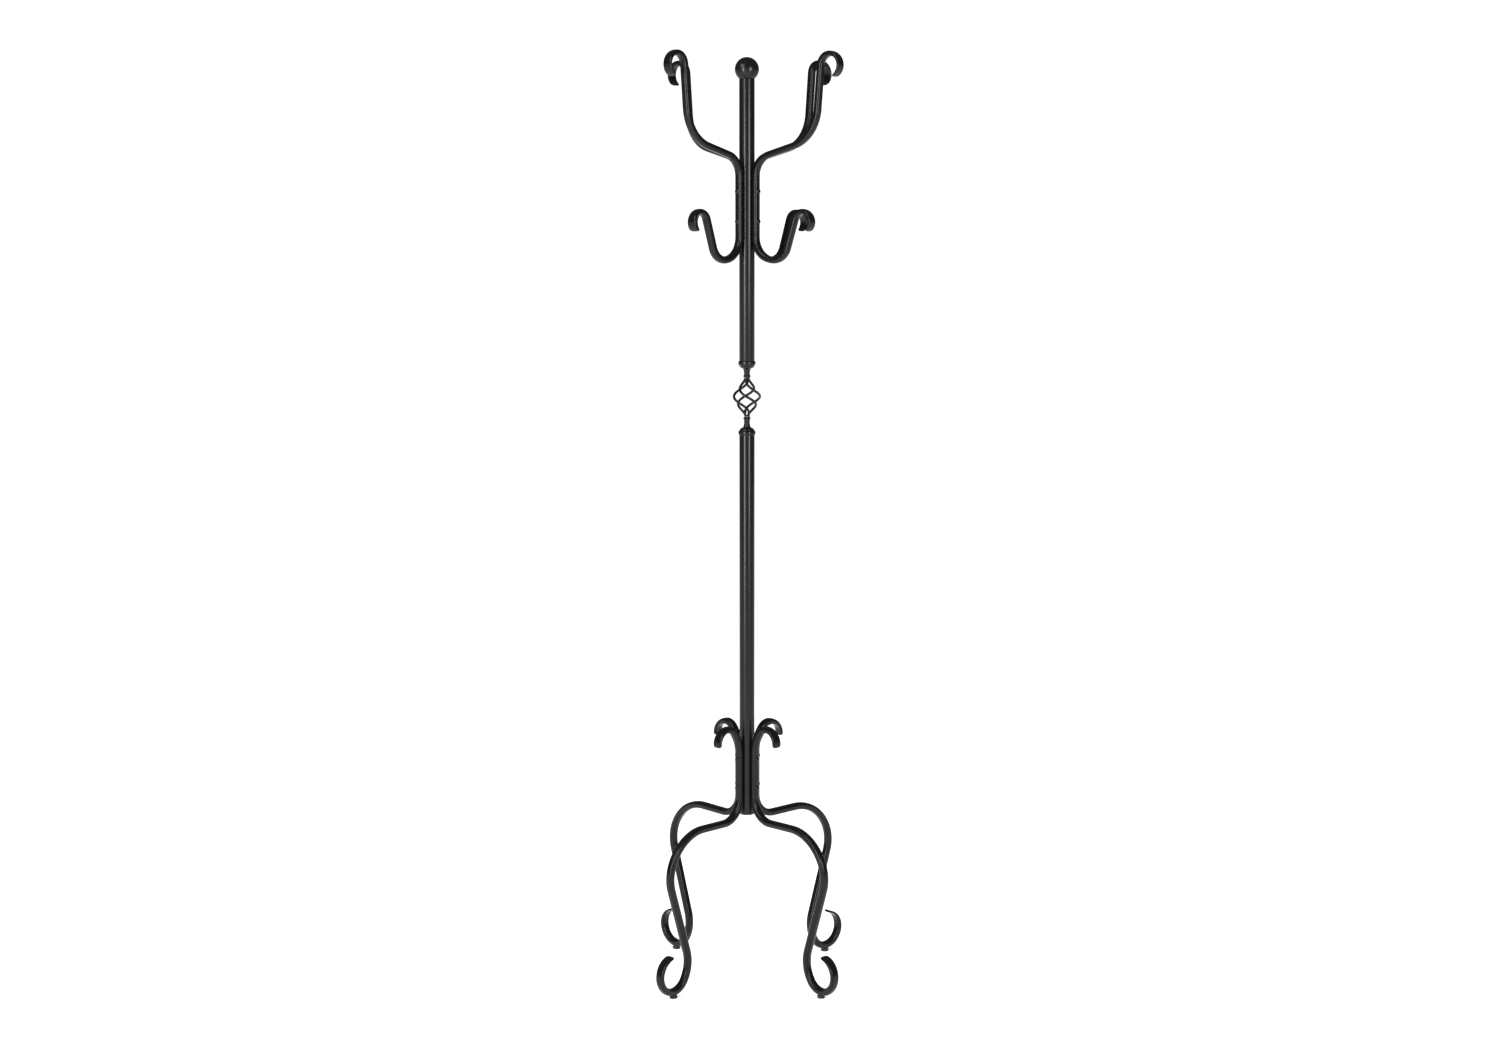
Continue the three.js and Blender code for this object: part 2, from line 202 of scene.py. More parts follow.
# %% The coat as a node group
def make_coat_group():
    """Powder coat: peel, slow unevenness of the forged metal, and dust on top faces."""
    tree, start, end = new_group(
        "powder_coat_skin",
        [("Position", VECTOR, None), ("Coat Colour", COLOUR, (0.01, 0.01, 0.01, 1)),
         ("Dust Colour", COLOUR, (0.1, 0.1, 0.1, 1)), ("Dust", FLOAT, 0.2),
         ("Roughness Low", FLOAT, 0.3), ("Roughness High", FLOAT, 0.45),
         ("Peel Size", FLOAT, 1.4), ("Peel Height", FLOAT, 0.3),
         ("Hammer Size", FLOAT, 14.0), ("Hammer Height", FLOAT, 1.0)],
        [("Colour", COLOUR), ("Roughness", FLOAT), ("Height", FLOAT)])
    link = tree.links.new

    def noise(name, size_socket, detail):
        """Noise whose blobs are about as wide, in millimetres, as the socket says."""
        per_metre = add_node(tree, "ShaderNodeMath", name + " per metre",
                             operation="DIVIDE")
        per_metre.inputs[0].default_value = 1000
        link(start.outputs[size_socket], per_metre.inputs[1])
        blobs = add_node(tree, "ShaderNodeTexNoise", name)
        set_inputs(blobs, Detail=detail, Roughness=0.5)
        link(start.outputs["Position"], blobs.inputs["Vector"])
        link(per_metre.outputs[0], blobs.inputs["Scale"])
        return blobs.outputs["Fac"]

    peel = noise("peel", "Peel Size", 2.0)
    hammer = noise("hammer marks", "Hammer Size", 1.0)
    clouds = add_node(tree, "ShaderNodeTexNoise", "gloss clouds")
    set_inputs(clouds, Scale=12.0, Detail=1.0, Roughness=0.5)
    link(start.outputs["Position"], clouds.inputs["Vector"])

    gloss = add_node(tree, "ShaderNodeMapRange", "gloss range")
    set_inputs(gloss, From_Min=0.32, From_Max=0.68)
    link(clouds.outputs["Fac"], gloss.inputs["Value"])
    link(start.outputs["Roughness Low"], gloss.inputs["To Min"])
    link(start.outputs["Roughness High"], gloss.inputs["To Max"])
    link(gloss.outputs["Result"], end.inputs["Roughness"])

    facing = add_node(tree, "ShaderNodeNewGeometry", "surface")
    split = add_node(tree, "ShaderNodeSeparateXYZ", "up part")
    link(facing.outputs["Normal"], split.inputs["Vector"])
    on_top = add_node(tree, "ShaderNodeMapRange", "dust on top")
    set_inputs(on_top, From_Min=0.35, From_Max=1.0)
    link(split.outputs["Z"], on_top.inputs["Value"])
    patchy = add_node(tree, "ShaderNodeMath", "patchy dust", operation="MULTIPLY")
    link(on_top.outputs["Result"], patchy.inputs[0])
    link(clouds.outputs["Fac"], patchy.inputs[1])
    amount = add_node(tree, "ShaderNodeMath", "dust amount", operation="MULTIPLY")
    link(patchy.outputs[0], amount.inputs[0])
    link(start.outputs["Dust"], amount.inputs[1])
    dusty = add_node(tree, "ShaderNodeMix", "dust over coat", data_type="RGBA")
    link(amount.outputs[0], dusty.inputs["Factor"])
    link(start.outputs["Coat Colour"], dusty.inputs["A"])
    link(start.outputs["Dust Colour"], dusty.inputs["B"])
    link(dusty.outputs["Result"], end.inputs["Colour"])

    peel_height = add_node(tree, "ShaderNodeMath", "peel height", operation="MULTIPLY")
    link(peel, peel_height.inputs[0])
    link(start.outputs["Peel Height"], peel_height.inputs[1])
    total = add_node(tree, "ShaderNodeMath", "whole height", operation="MULTIPLY_ADD")
    link(hammer, total.inputs[0])
    link(start.outputs["Hammer Height"], total.inputs[1])
    link(peel_height.outputs[0], total.inputs[2])
    link(total.outputs[0], end.inputs["Height"])
    return tree


coat_group = make_coat_group()
print("coat group", len(coat_group.nodes), "nodes")

# %% [markdown]
# ## The black coats
#
# The tubes are drawn steel and smooth under their coat. The bars are forged, so their
# skin is a little wavier. The basket is welded and slightly duller, and the screws are
# the smoothest. Black plastic mirrors little, so its specular level is set below normal.

# %% Coated materials
def coated_material(name, bump, specular=0.5, **amounts):
    """A material with the powder-coat skin. Heights are in millimetres."""
    material = bpy.data.materials.new(name)
    material.use_nodes = True
    tree = material.node_tree
    shader = tree.nodes["Principled BSDF"]
    shader.inputs["Specular IOR Level"].default_value = specular
    place = add_node(tree, "ShaderNodeTexCoord", "place on object")
    skin = add_node(tree, "ShaderNodeGroup", "powder coat", node_tree=coat_group)
    set_inputs(skin, **amounts)
    relief = add_node(tree, "ShaderNodeBump", "relief")
    set_inputs(relief, Strength=bump, Distance=MM)
    tree.links.new(place.outputs["Object"], skin.inputs["Position"])
    tree.links.new(skin.outputs["Colour"], shader.inputs["Base Color"])
    tree.links.new(skin.outputs["Roughness"], shader.inputs["Roughness"])
    tree.links.new(skin.outputs["Height"], relief.inputs["Height"])
    tree.links.new(relief.outputs["Normal"], shader.inputs["Normal"])
    return material


satin_black = coated_material(
    "satin_black_coat", bump=1.0, specular=0.22,
    Coat_Colour=(0.003, 0.003, 0.003, 1), Dust_Colour=(0.05, 0.05, 0.05, 1), Dust=0.06,
    Roughness_Low=0.27, Roughness_High=0.285, Peel_Size=2.2, Peel_Height=0.003,
    Hammer_Size=60.0, Hammer_Height=0.04)
forged_black = coated_material(
    "forged_black_coat", bump=1.0, specular=0.2,
    Coat_Colour=(0.002, 0.002, 0.002, 1), Dust_Colour=(0.05, 0.05, 0.05, 1), Dust=0.06,
    Roughness_Low=0.255, Roughness_High=0.275, Peel_Size=2.2, Peel_Height=0.003,
    Hammer_Size=32.0, Hammer_Height=0.12)
basket_black = coated_material(
    "basket_black_coat", bump=1.0, specular=0.18,
    Coat_Colour=(0.003, 0.003, 0.003, 1), Dust_Colour=(0.05, 0.05, 0.05, 1), Dust=0.05,
    Roughness_Low=0.29, Roughness_High=0.32, Peel_Size=1.8, Peel_Height=0.005,
    Hammer_Size=9.0, Hammer_Height=0.04)
screw_black = coated_material(
    "screw_black_coat", bump=1.0, specular=0.25,
    Coat_Colour=(0.003, 0.003, 0.003, 1), Dust_Colour=(0.05, 0.05, 0.05, 1), Dust=0.05,
    Roughness_Low=0.22, Roughness_High=0.24, Peel_Size=1.5, Peel_Height=0.002,
    Hammer_Size=6.0, Hammer_Height=0.01)

# %% [markdown]
# ## Rubber, plug plastic and zinc
#
# Moulded rubber and plastic are duller than the coat. The nuts and inserts in the tubes
# are zinc plated, so that material is metallic and pale. All three use the same skin
# group with other amounts.

# %% Rubber, plug plastic and zinc
rubber_black = coated_material(
    "pad_rubber", bump=1.0, specular=0.3,
    Coat_Colour=(0.010, 0.010, 0.010, 1), Dust_Colour=(0.15, 0.15, 0.15, 1), Dust=0.5,
    Roughness_Low=0.6, Roughness_High=0.75, Peel_Size=0.8, Peel_Height=0.05,
    Hammer_Size=5.0, Hammer_Height=0.05)
plug_plastic = coated_material(
    "plug_plastic", bump=1.0, specular=0.4,
    Coat_Colour=(0.011, 0.011, 0.011, 1), Dust_Colour=(0.12, 0.12, 0.12, 1), Dust=0.2,
    Roughness_Low=0.45, Roughness_High=0.55, Peel_Size=0.6, Peel_Height=0.02,
    Hammer_Size=10.0, Hammer_Height=0.02)
zinc = coated_material(
    "zinc_plate", bump=1.0,
    Coat_Colour=(0.62, 0.63, 0.6, 1), Dust_Colour=(0.4, 0.38, 0.3, 1), Dust=0.5,
    Roughness_Low=0.22, Roughness_High=0.4, Peel_Size=0.7, Peel_Height=0.01,
    Hammer_Size=4.0, Hammer_Height=0.01)
zinc.node_tree.nodes["Principled BSDF"].inputs["Metallic"].default_value = 1.0
print("materials", sorted(m.name for m in bpy.data.materials))

# %% [markdown]
# ## Helpers for making a piece
#
# Blender's operators act on everything that is selected, so each piece starts by
# deselecting all. A finished piece has its place baked into its mesh, its normals
# pointing out, smooth shading with crisp edges kept, a material, and it rides on the body.

# %% Piece helpers
SMOOTH_BELOW = math.radians(35)


def start_piece():
    """Nothing selected, object mode."""
    if bpy.context.object and bpy.context.object.mode != "OBJECT":
        bpy.ops.object.mode_set(mode="OBJECT")
    bpy.ops.object.select_all(action="DESELECT")


def select_only(piece):
    """Makes one object the selected, active one."""
    start_piece()
    piece.select_set(True)
    bpy.context.view_layer.objects.active = piece


def bake_place(piece):
    """Puts location, rotation and scale into the mesh."""
    select_only(piece)
    bpy.ops.object.transform_apply(location=True, rotation=True, scale=True)


def close_and_orient(piece):
    """Merges doubled vertices, then turns all faces outwards."""
    select_only(piece)
    bpy.ops.object.mode_set(mode="EDIT")
    bpy.ops.mesh.select_all(action="SELECT")
    bpy.ops.mesh.remove_doubles(threshold=0.00001)
    bpy.ops.mesh.normals_make_consistent(inside=False)
    bpy.ops.object.mode_set(mode="OBJECT")


def finish_piece(piece, name, node, material):
    """Names a piece, shades it, and lets it stand for its CAD node."""
    bake_place(piece)
    bpy.ops.object.shade_smooth_by_angle(angle=SMOOTH_BELOW)
    piece.name = name
    piece.data.name = name
    piece.data.materials.clear()
    piece.data.materials.append(material)
    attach(piece, "root")
    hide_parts(node)
    return piece


def size_note(piece):
    """Prints a piece's size and face count."""
    points = [v.co for v in piece.data.vertices]
    size = [1000 * (max(p[i] for p in points) - min(p[i] for p in points)) for i in range(3)]
    print(piece.name, "size mm", [round(s, 1) for s in size], "faces",
          len(piece.data.polygons))

# %% [markdown]
# ## Four sides
#
# Hooks and legs stand at 90 degree steps round the pole, give or take a few degrees,
# because the tubes are drilled by hand. One of each is made pointing along +X. All four
# are copies of it with meshes of their own, turned about the pole. Each copy's box is
# compared with its CAD node's box, so a turn the wrong way would show.

# %% Copy round the pole
SIDES = ["right", "back", "left", "front"]


HOOK_OFF_SIDE = (7.8, -2.2, -1.7, 2.9)
LEG_OFF_SIDE = (-2.2, -4.3, -1.2, 2.7)


def compare_boxes(piece, node):
    """Prints the largest difference between a piece's box and its CAD node's box."""
    points = [v.co for v in piece.data.vertices]
    low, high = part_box(node)
    worst = max(max(abs(min(p[i] for p in points) - low[i]),
                    abs(max(p[i] for p in points) - high[i])) for i in range(3))
    print(node, "box differs by", round(1000 * worst, 1), "mm")


def copy_round(first, stem, material, off_side=(0, 0, 0, 0)):
    """Puts a copy on each side, turned off that side by its own few degrees."""
    bake_place(first)
    made = []
    for quarter, side in enumerate(SIDES):
        select_only(first)
        bpy.ops.object.duplicate(linked=False)
        piece = bpy.context.object
        angle = quarter * math.pi / 2 + math.radians(off_side[quarter])
        bpy.ops.transform.rotate(value=-angle, orient_axis="Z", center_override=(0, 0, 0))
        node = stem + "_" + side
        finish_piece(piece, "shown_" + node, node, material)
        compare_boxes(piece, node)
        made.append(piece)
    bpy.data.objects.remove(first)
    return made

# %% [markdown]
# ## Turned pieces
#
# The ball, ferrules, hubs, screws, pads and tubes are all round about an axis, so they are
# turned as on a lathe. A single vertex is drawn along the outline, and the outline
# is spun a full turn. The seam is merged, and the faces are turned outwards.

# %% The lathe
def turned(outline, steps, place=(0, 0, 0)):
    """A round solid about Z from (radius, height) points in metres, low end first."""
    start_piece()
    bpy.ops.mesh.primitive_plane_add(size=MM, location=place)
    piece = bpy.context.object
    bake_place(piece)
    bpy.ops.object.mode_set(mode="EDIT")
    bpy.ops.mesh.select_mode(type="VERT")
    bpy.ops.mesh.select_all(action="SELECT")
    bpy.ops.mesh.merge(type="CENTER")
    first_radius, first_height = outline[0]
    bpy.ops.transform.translate(value=(first_radius, 0, first_height))
    for (r0, h0), (r1, h1) in zip(outline, outline[1:]):
        step = {"value": (r1 - r0, 0, h1 - h0)}
        bpy.ops.mesh.extrude_vertices_move(TRANSFORM_OT_translate=step)
    bpy.ops.mesh.select_all(action="SELECT")
    bpy.ops.mesh.spin(steps=steps, angle=2 * math.pi, center=place, axis=(0, 0, 1))
    bpy.ops.object.mode_set(mode="OBJECT")
    close_and_orient(piece)
    return piece


def arc_points(centre, radius, start, stop, steps):
    """Points on an arc of the outline, angles in degrees from the radius axis."""
    points = []
    for i in range(steps + 1):
        angle = math.radians(start + (stop - start) * i / steps)
        points.append((centre[0] + radius * math.cos(angle),
                       centre[1] + radius * math.sin(angle)))
    return points

# %% [markdown]
# ## Drilling
#
# The tubes are drilled for rivet nuts, the bars for their screws and the feet for their
# pads. A round cutter and a Boolean modifier do it.

# %% Drill
def drill(piece, radius, start, along, depth):
    """Cuts a round hole from a point, in a direction, to a depth."""
    start_piece()
    middle = Vector(start) + Vector(along) * depth / 2
    turn = Vector(along).to_track_quat("Z", "Y").to_euler()
    bpy.ops.mesh.primitive_cylinder_add(vertices=32, radius=radius, depth=depth,
                                        location=middle, rotation=turn)
    cutter = bpy.context.object
    select_only(piece)
    cut = piece.modifiers.new("drill", "BOOLEAN")
    cut.operation = "DIFFERENCE"
    cut.solver = "EXACT"
    cut.object = cutter
    bpy.ops.object.modifier_apply(modifier="drill")
    bpy.data.objects.remove(cutter)

# %% [markdown]
# ## The pole tubes
#
# The pole is round steel tube, 30 mm across with a 1.5 mm wall. Each length is sawn square
# and its ends are broken with a file. The outline runs up the outside, over the rounded
# end and down the inside. Many short steps along it keep the long highlights clean.

# %% Tubes
TUBE_RADIUS = 15 * MM
TUBE_WALL = 1.5 * MM
TUBE_EDGE = 0.35 * MM
TUBE_STEPS = 128
HOLE_RING = 6 * MM
NUT_HOLE = 3.7 * MM
HOOK_SCREWS = {"top": 1569 * MM, "bottom": 1511 * MM}
LEG_SCREWS = {"top": 445.5 * MM, "bottom": 387.5 * MM}


def tube_outline(low, high, hole_heights):
    """A closed outline of the tube wall with both ends rounded over."""
    outer, inner, edge = TUBE_RADIUS, TUBE_RADIUS - TUBE_WALL, TUBE_EDGE
    points = [(outer - edge, low)]
    points += arc_points((outer - edge, low + edge), edge, -90, 0, 4)[1:]
    for height in sorted(hole_heights):
        points += [(outer, height - HOLE_RING), (outer, height + HOLE_RING)]
    points += arc_points((outer - edge, high - edge), edge, 0, 90, 4)
    points += arc_points((inner + edge, high - edge), edge, 90, 180, 4)
    points += arc_points((inner + edge, low + edge), edge, 180, 270, 4)
    points += [(outer - edge, low)]
    return points


def make_tube(node, screw_heights, off_side):
    """One length of tube, with a hole for the rivet nut of every screw."""
    low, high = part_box(node)
    tube = turned(tube_outline(low.z, high.z, screw_heights), TUBE_STEPS)
    for height in screw_heights:
        for quarter in range(4):
            angle = quarter * math.pi / 2 + math.radians(off_side[quarter])
            out = (math.cos(angle), math.sin(angle), 0)
            start = (out[0] * 10 * MM, out[1] * 10 * MM, height)
            drill(tube, NUT_HOLE, start, out, 8 * MM)
    finish_piece(tube, "shown_" + node, node, satin_black)
    size_note(tube)
    return tube


make_tube("lower_tube", LEG_SCREWS.values(), LEG_OFF_SIDE)
make_tube("upper_tube", HOOK_SCREWS.values(), HOOK_OFF_SIDE)

# %% [markdown]
# ## The ball
#
# The finial is a solid ball of 46.8 mm that sits on the tube end on a small flat, with a
# threaded stud below it. The outline starts at the stud and ends at the top of the ball.

# %% Ball finial
BALL_RADIUS = 23.4 * MM
BALL_CENTRE = 1802.6 * MM
STUD_RADIUS = 4 * MM
ball_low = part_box("ball_finial")[0]
tube_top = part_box("upper_tube")[1].z
seat_height = tube_top + 0.3 * MM
seat_angle = math.degrees(math.asin((seat_height - BALL_CENTRE) / BALL_RADIUS))
ball_outline = [(0, ball_low.z), (STUD_RADIUS - 0.6 * MM, ball_low.z),
                (STUD_RADIUS, ball_low.z + 0.6 * MM), (STUD_RADIUS, seat_height)]
ball_outline += arc_points((0, BALL_CENTRE), BALL_RADIUS, seat_angle, 90, 48)
ball = turned(ball_outline, 96)
finish_piece(ball, "shown_ball_finial", "ball_finial", satin_black)
size_note(ball)

# %% [markdown]
# ## The ferrules
#
# Where the pole is cut for the basket, each tube end wears a bell-shaped ferrule: a bead
# round the tube, then a neck that sweeps in to the rods. The upper one is the lower one
# turned over, so one outline serves both, and the copy is made by mirroring.

# %% Ferrules
FERRULE_SEAT = 5.9 * MM


def ferrule_outline():
    """Radius and height above the skirt's edge, from the seat inside round to the bore."""
    points = [(15.3, FERRULE_SEAT / MM), (15.3, 0.25), (15.5, 0), (15.8, 0.1)]
    points += [(16.3, 0.7), (16.7, 1.7), (16.85, 3.0), (16.85, 5.2), (16.7, 6.6)]
    points += [(16.2, 7.8), (15.4, 8.7), (14.6, 9.2), (14.25, 9.7), (14.15, 10.4)]
    points += [(13.9, 11.3), (13.2, 12.3), (11.9, 13.2), (10.3, 13.9), (8.9, 14.6)]
    points += [(7.8, 15.5), (7.1, 16.7), (6.6, 18.2), (6.35, 19.6), (6.2, 20.5)]
    points += [(5.9, 20.8), (4.5, 20.8), (4.3, 20.6), (4.3, FERRULE_SEAT / MM)]
    points += [(15.3, FERRULE_SEAT / MM)]
    return [(r * MM, h * MM) for r, h in points]


def make_ferrule(node, skirt_edge, upwards):
    """A ferrule whose neck points up from the skirt edge, or down."""
    outline = [(r, skirt_edge + (h if upwards else -h)) for r, h in ferrule_outline()]
    ferrule = turned(outline, 96)
    finish_piece(ferrule, "shown_" + node, node, satin_black)
    size_note(ferrule)
    return ferrule


make_ferrule("lower_ferrule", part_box("lower_ferrule")[0].z, True)
make_ferrule("upper_ferrule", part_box("upper_ferrule")[1].z, False)

# %% [markdown]
# ## Hubs and their weld
#
# Four rods come together on a round hub, and a ring of weld joins them. A weld bead
# looks like a row of small overlapping drops, so the bead's radius ripples round the hub.
# The ripple is a small push of vertices along their own direction, which no lathe gives.

# %% Hubs
HUB_STEPS = 72
NECK_PLAY = 0.3 * MM
NECK_RADIUS = 5.7 * MM
NECK_EDGE = 0.5 * MM
WELD_LENGTH = 6 * MM
WELD_WAVES = 9
WELD_DEPTH = 0.05


def hub_outline(low, high, neck_low):
    """A stud that fits the insert, a thicker neck above it, and a collar of weld on top."""
    start = high - WELD_LENGTH
    end_radius = NECK_RADIUS - NECK_EDGE
    points = [(0, low), (STUD_RADIUS - 0.9 * MM, low), (STUD_RADIUS, low + 1 * MM)]
    points += [(STUD_RADIUS, neck_low), (end_radius, neck_low)]
    points += [(NECK_RADIUS, neck_low + NECK_EDGE), (NECK_RADIUS, start)]
    points += [(6.3 * MM, start + 1 * MM), (6.7 * MM, start + 2.5 * MM)]
    points += [(6.6 * MM, start + 4.2 * MM), (6.0 * MM, start + 5.4 * MM)]
    return points + [(end_radius, high), (0, high)]


def ripple(piece, waves, depth, low, high):
    """Pushes the skin in and out round the axis between two heights, as weld drops do."""
    for v in piece.data.vertices:
        if low < v.co.z < high:
            angle = math.atan2(v.co.y, v.co.x)
            push = 1 + depth * math.sin(waves * angle + 0.6 * math.sin(3 * angle))
            v.co.x *= push
            v.co.y *= push


def make_hub(node, ferrule, weld_at_top):
    """A hub; the upper one is turned over so that its weld is at its low end."""
    low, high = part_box(node)
    ferrule_low, ferrule_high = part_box(ferrule)
    if weld_at_top:
        outline = hub_outline(low.z, high.z, ferrule_high.z + NECK_PLAY)
        weld = (high.z - 5.5 * MM, high.z - 0.5 * MM)
    else:
        turned_over = low.z + high.z
        outline = hub_outline(low.z, high.z, turned_over - ferrule_low.z + NECK_PLAY)
        outline = [(r, turned_over - h) for r, h in outline]
        weld = (low.z + 0.5 * MM, low.z + 5.5 * MM)
    hub = turned(outline, HUB_STEPS)
    ripple(hub, WELD_WAVES, WELD_DEPTH, *weld)
    finish_piece(hub, "shown_" + node, node, basket_black)
    size_note(hub)
    return hub


make_hub("lower_hub", "lower_ferrule", True)
make_hub("upper_hub", "upper_ferrule", False)

# %% [markdown]
# ## The basket
#
# A smith twists four welded rods and then unwinds them a little, and they spring out into a
# basket. The line of one rod is drawn as a curve that turns round the pole while its
# distance from the pole swells and shrinks. A round bevel on the curve gives the rod.

# %% Basket rods
ROD_RADIUS = 2.5 * MM
ROD_NEAR = 3.9 * MM
ROD_FAR = 25.6 * MM
ROD_TWIST = math.radians(280)
ROD_START = math.radians(5)
ROD_POWER = 1.7
ROD_POINTS = 90
BASKET_LOW = 1131.2 * MM
BASKET_HIGH = 1206.2 * MM


def rod_point(share):
    """A point of the rod's line, share 0 at its foot and 1 at its head."""
    swell = math.sin(math.pi * share) ** ROD_POWER
    radius = ROD_NEAR + (ROD_FAR - ROD_NEAR) * swell
    angle = ROD_START + ROD_TWIST * (1 - share)
    height = BASKET_LOW + (BASKET_HIGH - BASKET_LOW) * share
    return (radius * math.cos(angle), radius * math.sin(angle), height)


start_piece()
rod_line = bpy.data.curves.new("rod_line", "CURVE")
rod_line.dimensions = "3D"
rod_spline = rod_line.splines.new("POLY")
rod_spline.points.add(ROD_POINTS)
for i, point in enumerate(rod_spline.points):
    point.co = (*rod_point(i / ROD_POINTS), 1)
rod_line.bevel_depth = ROD_RADIUS
rod_line.bevel_resolution = 6
rod_line.use_fill_caps = True
rod = bpy.data.objects.new("rod", rod_line)
scene.collection.objects.link(rod)
select_only(rod)
bpy.ops.object.convert(target="MESH")
rod = bpy.context.object
close_and_orient(rod)
basket_rods = copy_round(rod, "basket_rod", basket_black)
for piece in basket_rods:
    size_note(piece)

# %% [markdown]
# ## Forged bars
#
# Each hook and each leg is one bar. A smith forges it straight first: the middle keeps its
# near-round section, and each end is drawn out into a thin, wide tongue with a blunt
# end and rounded corners. Only then is it bent round a form. The same order is used here.
#
# The blank starts as a disc. It is extruded along X, and each new ring is scaled to the
# width and thickness that the bar has there. Then it is pressed: the middle of the bar is
# nearly round, and the tongues have flat faces. The press changes the shape of every ring
# by a formula, which no operator does.

# %% The blank
BLANK_STEPS = 40
RING_STEP = 3 * MM
TIP_STEP = 0.7 * MM
EDGE_ROUND = 1.6 * MM
PRESS_MIDDLE = 2.8
PRESS_TONGUE = 4.6


def smooth_step(f):
    """0 to 1 with no sudden start or stop."""
    return f * f * (3 - 2 * f)


def taper_share(at, total, taper):
    """0 at a tongue's end and 1 where the bar has its full section; and the end distance."""
    end, length = min((at, taper[0]), (total - at, taper[1]))
    return smooth_step(min(1, max(0, end) / length)), max(0, end)


def bar_section(at, total, taper, bar):
    """Width and thickness of the forged bar at a distance along it."""
    share, end = taper_share(at, total, taper)
    short = max(0, bar["corner"] - end)
    cut = 2 * (bar["corner"] - math.sqrt(bar["corner"] ** 2 - short ** 2))
    width = bar["tip_width"] + (bar["width"] - bar["tip_width"]) * share - cut
    thick = bar["tip_thick"] + (bar["thick"] - bar["tip_thick"]) * share
    edge = 1 - min(1, end / EDGE_ROUND)
    return width, thick * math.sqrt(1 - 0.9 * edge * edge)


def ring_places(total, tip_zone):
    """Distances along the bar for the rings: close at the tips, wider between."""
    places = []
    at = 0.0
    while at < total - 0.0001:
        places.append(at)
        end = min(at, total - at - TIP_STEP)
        at += TIP_STEP * (0.3 if end < 2 * MM else 1) if end < tip_zone else RING_STEP
    places.append(total)
    return places


def press(blank, total, taper, bar):
    """Squares each ring's section: a little in the middle, and flat on the tongues."""
    for v in blank.data.vertices:
        share = taper_share(v.co.x, total, taper)[0]
        power = 2 / (PRESS_TONGUE + (PRESS_MIDDLE - PRESS_TONGUE) * share)
        width, thick = bar_section(v.co.x, total, taper, bar)
        across, up = 2 * v.co.y / thick, 2 * v.co.z / width
        v.co.y = math.copysign(abs(across) ** power, across) * thick / 2
        v.co.z = math.copysign(abs(up) ** power, up) * width / 2


def forge_blank(total, taper, bar):
    """A straight forged bar along +X from the origin, its thickness along Y."""
    start_piece()
    bpy.ops.mesh.primitive_circle_add(vertices=BLANK_STEPS, radius=0.5, fill_type="NGON",
                                      location=(0, 0, 0), rotation=(0, math.pi / 2, 0))
    blank = bpy.context.object
    bake_place(blank)
    bpy.ops.object.mode_set(mode="EDIT")
    bpy.ops.mesh.select_all(action="SELECT")
    width, thick = bar_section(0, total, taper, bar)
    bpy.ops.transform.resize(value=(1, thick, width), center_override=(0, 0, 0))
    before = 0
    for at in ring_places(total, bar["corner"])[1:]:
        new_width, new_thick = bar_section(at, total, taper, bar)
        step = {"value": (at - before, 0, 0)}
        bpy.ops.mesh.extrude_region_move(TRANSFORM_OT_translate=step)
        bpy.ops.transform.resize(value=(1, new_thick / thick, new_width / width),
                                 center_override=(at, 0, 0))
        width, thick, before = new_width, new_thick, at
    bpy.ops.object.mode_set(mode="OBJECT")
    press(blank, total, taper, bar)
    return blank

# %% [markdown]
# ## Bending lines
#
# The form that a bar is bent round is drawn as a line of straight runs and arcs, in the
# XY plane, where X is the distance from the pole and Y is the height. A vertex is extruded
# for a straight run and spun for a bend. A Curve modifier then bends the blank along it,
# and the bent bar is stood upright.

# %% Drawing a bending line
BEND_TURN = math.radians(3)


def walk(spot, heading, schedule):
    """Carries the selected end vertex through straight runs and bends."""
    for radius, amount in schedule:
        ahead = Vector((math.cos(heading), math.sin(heading), 0))
        left = Vector((-ahead.y, ahead.x, 0))
        if radius == 0:
            step = {"value": ahead * amount * MM}
            bpy.ops.mesh.extrude_vertices_move(TRANSFORM_OT_translate=step)
            spot = spot + ahead * amount * MM
            continue
        turn = math.radians(amount)
        side = math.copysign(radius * MM, amount)
        centre = spot + left * side
        steps = max(4, math.ceil(abs(turn) / BEND_TURN))
        bpy.ops.mesh.spin(steps=steps, angle=-turn, center=centre, axis=(0, 0, 1))
        heading += turn
        spot = centre + Vector((math.sin(heading), -math.cos(heading), 0)) * side
    return spot


def bending_line(name, distance, run, up, down):
    """The bar's centre line, from its lower tip to its upper tip, as a flat curve."""
    start_piece()
    bpy.ops.mesh.primitive_plane_add(size=MM, location=(0, 0, 0))
    line = bpy.context.object
    bpy.ops.object.mode_set(mode="EDIT")
    bpy.ops.mesh.select_mode(type="VERT")
    bpy.ops.mesh.select_all(action="SELECT")
    bpy.ops.mesh.merge(type="CENTER")
    low = Vector((distance, run[0] * MM, 0))
    high = Vector((distance, run[1] * MM, 0))
    bpy.ops.transform.translate(value=high)
    bpy.ops.mesh.extrude_vertices_move(TRANSFORM_OT_translate={"value": low - high})
    lower_tip = walk(low, -math.pi / 2, down)
    bpy.ops.object.mode_set(mode="OBJECT")
    for v in line.data.vertices:
        v.select = (v.co - high).length < 0.01 * MM
    bpy.ops.object.mode_set(mode="EDIT")
    walk(high, math.pi / 2, up)
    bpy.ops.object.mode_set(mode="OBJECT")
    bpy.ops.object.convert(target="CURVE")
    line = bpy.context.object
    line.name = name
    line.data.dimensions = "2D"
    first = line.data.splines[0].points[0].co.xyz
    if (first - lower_tip).length > MM:
        bpy.ops.object.mode_set(mode="EDIT")
        bpy.ops.curve.select_all(action="SELECT")
        bpy.ops.curve.switch_direction()
        bpy.ops.object.mode_set(mode="OBJECT")
    return line


